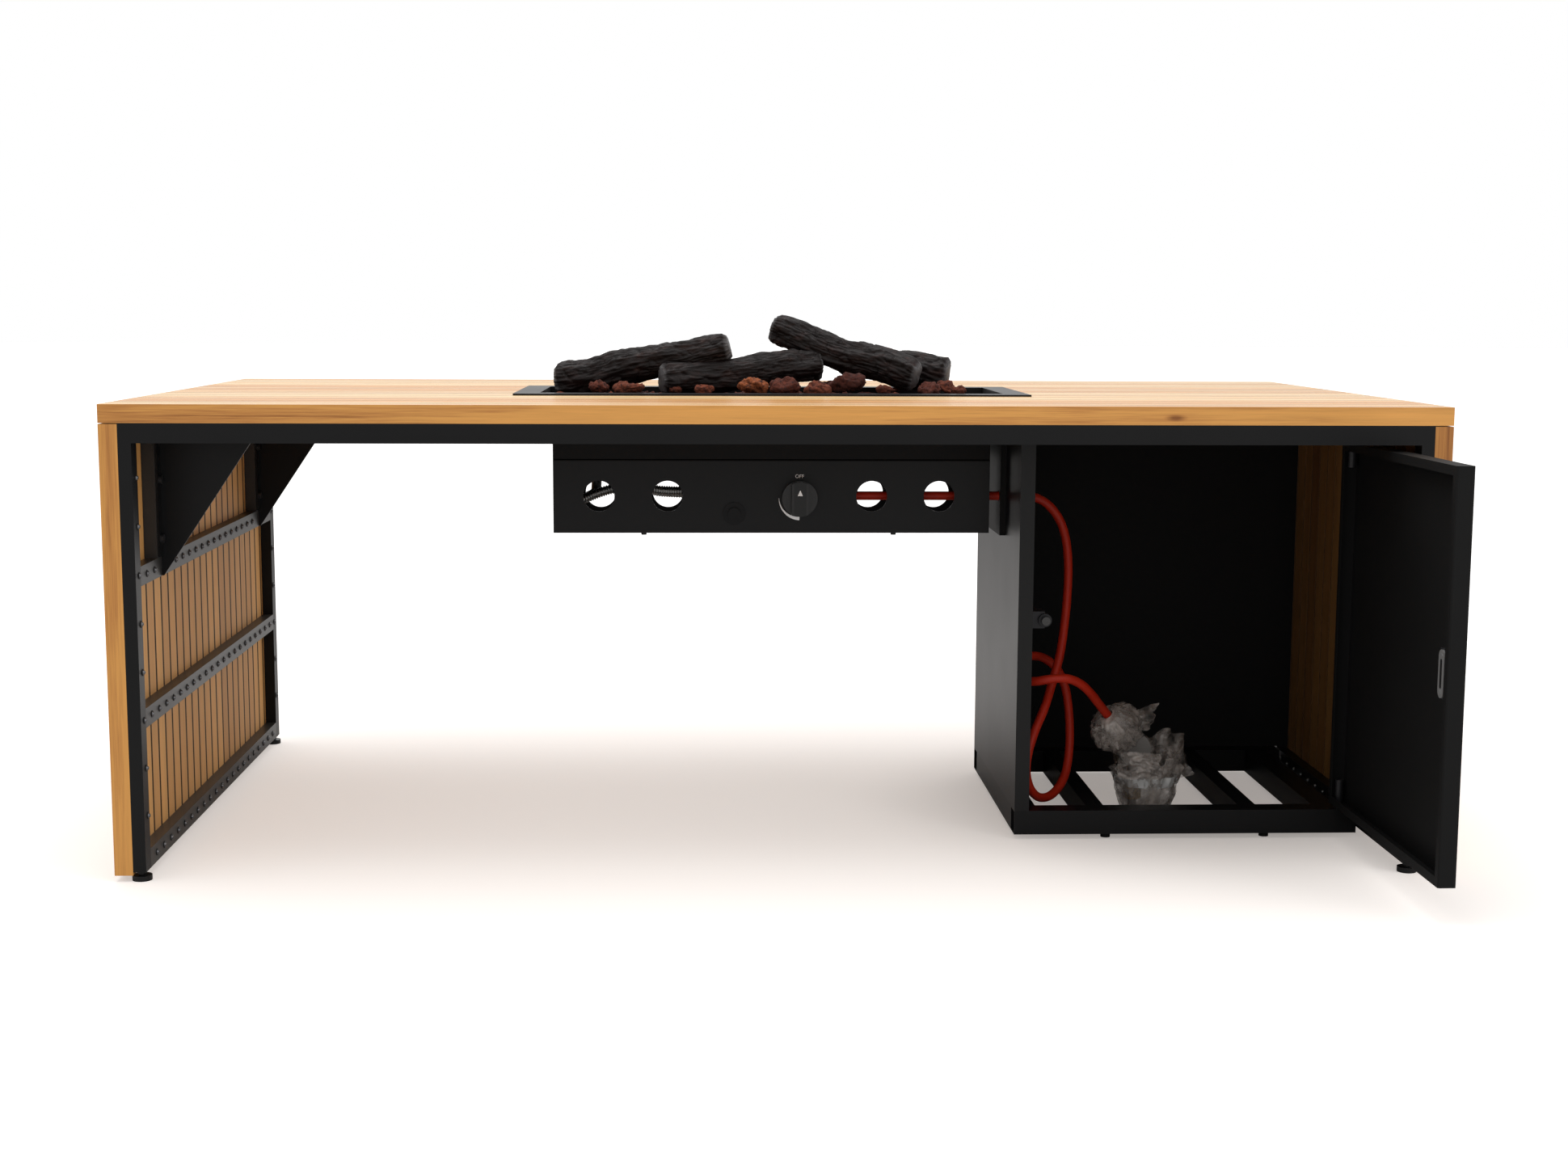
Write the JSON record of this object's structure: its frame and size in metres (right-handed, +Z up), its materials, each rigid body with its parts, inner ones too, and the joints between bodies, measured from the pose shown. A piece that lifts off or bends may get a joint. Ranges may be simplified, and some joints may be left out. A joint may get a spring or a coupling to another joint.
{
  "type": "fire pit table",
  "caption": "Slatted teak table on a black steel frame with a gas burner trough holding logs and lava stones, and a gas bottle cabinet with a hinged door.",
  "frame": {"origin": "on the floor, under the centre of the whole piece with its cabinet door standing open at a right angle; the table's own centre is 140 mm behind it", "axes": "+X along the table towards the bottle cabinet's end, +Y from the control side towards the back, +Z up"},
  "size_m": [2.04, 1.33, 0.8603],
  "materials": {
    "teak": "oiled, open grain",
    "black_coat": "satin powder coat",
    "dark_inner": "matt heat-resistant paint",
    "stainless": "brushed",
    "zinc": "bright",
    "dark_steel": "phosphated",
    "log_ceramic": "rough fired ceramic fibre",
    "lava": "porous stone",
    "brass": "machined",
    "hose_rubber": "smooth",
    "black_rubber": "matt",
    "black_plastic": "satin",
    "wrap_film": "cloudy film",
    "zamak": "die cast"
  },
  "bodies": {
    "table": {"top_slats_front": "teak", "top_slats_back": "teak", "top_slats_left": "teak", "top_slats_right": "teak", "left_panel_slats": "teak", "right_panel_slats": "teak", "left_posts": "black_coat", "left_rails": "black_coat", "left_panel_screws": "zinc", "right_posts": "black_coat", "right_rails": "black_coat", "right_panel_screws": "zinc", "front_apron": "black_coat", "back_apron": "black_coat", "cross_rails": "black_coat", "top_screws": "zinc", "gussets": "black_coat", "gusset_bolts": "zinc", "burner_rim": "black_coat", "burner_pan": "dark_inner", "burner_deck": "dark_inner", "burner_tube": "stainless", "pilot_burner": "stainless", "lava_rocks": "lava", "left_log": "log_ceramic", "centre_log": "log_ceramic", "crossing_log": "log_ceramic", "back_log": "log_ceramic", "control_box": "black_coat", "box_screws": "zinc", "heat_shield": "black_coat", "gas_valve": "brass", "igniter_body": "black_plastic", "flex_pipes": "stainless", "cabinet_side": "black_coat", "cabinet_back": "black_coat", "hinge_post": "black_coat", "hinge_brackets": "dark_steel", "base_frame": "black_coat", "base_bars": "black_coat", "base_glides": "black_rubber", "latch_body": "dark_steel", "hose_grommet": "black_rubber", "gas_hose": "hose_rubber", "hose_tail": "brass", "regulator": "zamak", "regulator_nut": "brass", "bubble_wrap": "wrap_film"},
    "door": {"door_shell": "black_coat", "hinge_pins": "zinc", "strike_block": "dark_steel", "strike_plate": "zinc"},
    "latch_plunger": {"latch_plunger": "zinc"},
    "valve_plunger": {"valve_plunger": "zinc"},
    "control_knob": {"control_knob": "black_plastic"},
    "igniter_button": {"igniter_button": "black_plastic"},
    "foot_front_left": {"foot_front_left": "black_plastic"},
    "foot_front_right": {"foot_front_right": "black_plastic"},
    "foot_back_left": {"foot_back_left": "black_plastic"},
    "foot_back_right": {"foot_back_right": "black_plastic"}
  },
  "joints": [
    {"name": "door_hinge", "type": "hinge", "parent": "table", "child": "door", "pos_m": [0.9395, -0.1465, 0.35], "axis": [0, 0, 1], "range_deg": [-90, 3]},
    {"name": "latch_press", "type": "slide", "parent": "table", "child": "latch_plunger", "axis": [0, 1, 0], "range_m": [0, 0.004], "stiffness_N_per_m": 800, "springref_m": -0.002},
    {"name": "valve_press", "type": "slide", "parent": "table", "child": "valve_plunger", "axis": [0, 1, 0], "range_m": [0, 0.004], "stiffness_N_per_m": 900, "springref_m": -0.002},
    {"name": "knob_turn", "type": "hinge", "parent": "valve_plunger", "child": "control_knob", "pos_m": [0.041, -0.02, 0.555], "axis": [0, -1, 0], "range_deg": [0, 180]},
    {"name": "igniter_press", "type": "slide", "parent": "table", "child": "igniter_button", "axis": [0, 1, 0], "range_m": [0, 0.005], "stiffness_N_per_m": 600, "springref_m": -0.002},
    {"name": "foot_front_left_screw", "type": "slide", "parent": "table", "child": "foot_front_left", "axis": [0, 0, 1], "range_m": [-0.012, 0]},
    {"name": "foot_back_left_screw", "type": "slide", "parent": "table", "child": "foot_back_left", "axis": [0, 0, 1], "range_m": [-0.012, 0]},
    {"name": "foot_front_right_screw", "type": "slide", "parent": "table", "child": "foot_front_right", "axis": [0, 0, 1], "range_m": [-0.012, 0]},
    {"name": "foot_back_right_screw", "type": "slide", "parent": "table", "child": "foot_back_right", "axis": [0, 0, 1], "range_m": [-0.012, 0]}
  ]
}
